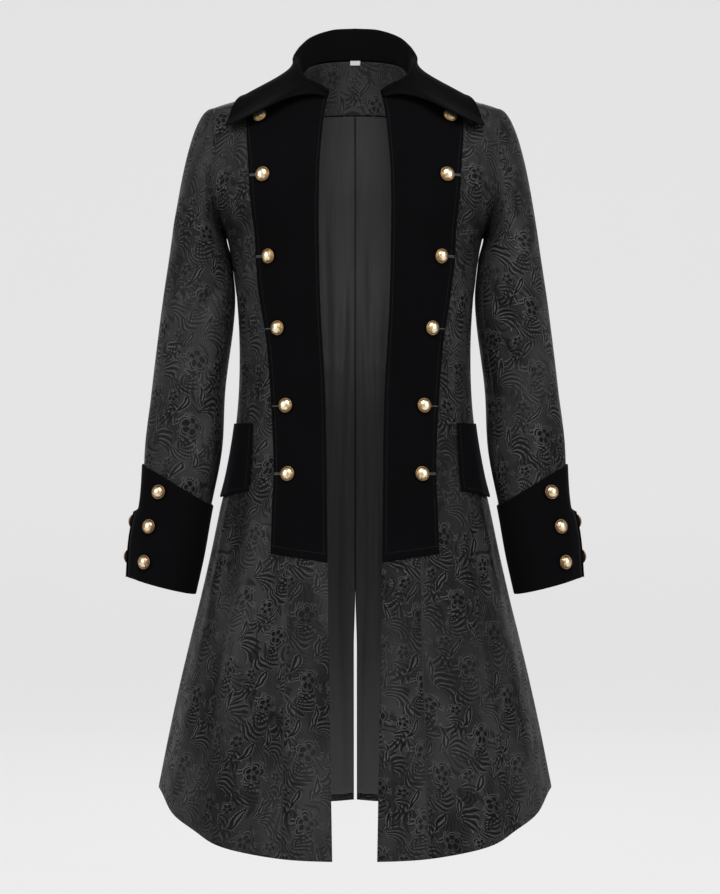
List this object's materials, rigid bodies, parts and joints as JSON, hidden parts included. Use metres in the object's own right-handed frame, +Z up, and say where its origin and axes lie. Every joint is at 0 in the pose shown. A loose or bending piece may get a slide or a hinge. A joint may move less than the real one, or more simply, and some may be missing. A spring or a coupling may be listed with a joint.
{
  "type": "tailcoat",
  "caption": "Long open-fronted dress coat with velvet collar, button-trimmed turned-back fronts, flared split skirt and buttoned cuffs, filled out as worn.",
  "frame": {"origin": "between the two side neck points, where the coat rests on the wearer's shoulders", "axes": "+Z up; -Y is the front of the coat; +X is the wearer's left"},
  "size_m": [0.6432, 0.4251, 1.1629],
  "materials": {
    "brocade": "woven floral damask, part satin, part dull",
    "velvet": "short dense pile",
    "lining_satin": "smooth satin",
    "label_tape": "blank woven tape",
    "lapel_button_metal": "pale polished metal",
    "cuff_button_metal": "antiqued metal"
  },
  "bodies": {
    "root": {"front_centre_left": "brocade", "front_centre_right": "brocade", "front_side_left": "brocade", "front_side_right": "brocade", "back_side_left": "brocade", "back_side_right": "brocade", "back_centre_left": "brocade", "back_centre_right": "brocade", "back_lining_left": "lining_satin", "back_lining_right": "lining_satin", "lapel_left": "velvet", "lapel_right": "velvet", "pocket_flap_left": "velvet", "pocket_flap_right": "velvet", "top_sleeve_left": "brocade", "top_sleeve_right": "brocade", "under_sleeve_left": "brocade", "under_sleeve_right": "brocade", "cuff_left": "velvet", "cuff_right": "velvet", "collar": "velvet", "neck_facing": "brocade", "neck_label": "label_tape", "lapel_button_left_1": "lapel_button_metal", "lapel_button_left_2": "lapel_button_metal", "lapel_button_left_3": "lapel_button_metal", "lapel_button_left_4": "lapel_button_metal", "lapel_button_left_5": "lapel_button_metal", "lapel_button_left_6": "lapel_button_metal", "cuff_button_left_1": "cuff_button_metal", "cuff_button_left_2": "cuff_button_metal", "cuff_button_left_3": "cuff_button_metal", "cuff_button_left_4": "cuff_button_metal", "cuff_button_left_5": "cuff_button_metal", "cuff_button_left_6": "cuff_button_metal", "lapel_button_right_1": "lapel_button_metal", "lapel_button_right_2": "lapel_button_metal", "lapel_button_right_3": "lapel_button_metal", "lapel_button_right_4": "lapel_button_metal", "lapel_button_right_5": "lapel_button_metal", "lapel_button_right_6": "lapel_button_metal", "cuff_button_right_1": "cuff_button_metal", "cuff_button_right_2": "cuff_button_metal", "cuff_button_right_3": "cuff_button_metal", "cuff_button_right_4": "cuff_button_metal", "cuff_button_right_5": "cuff_button_metal", "cuff_button_right_6": "cuff_button_metal"}
  },
  "joints": []
}
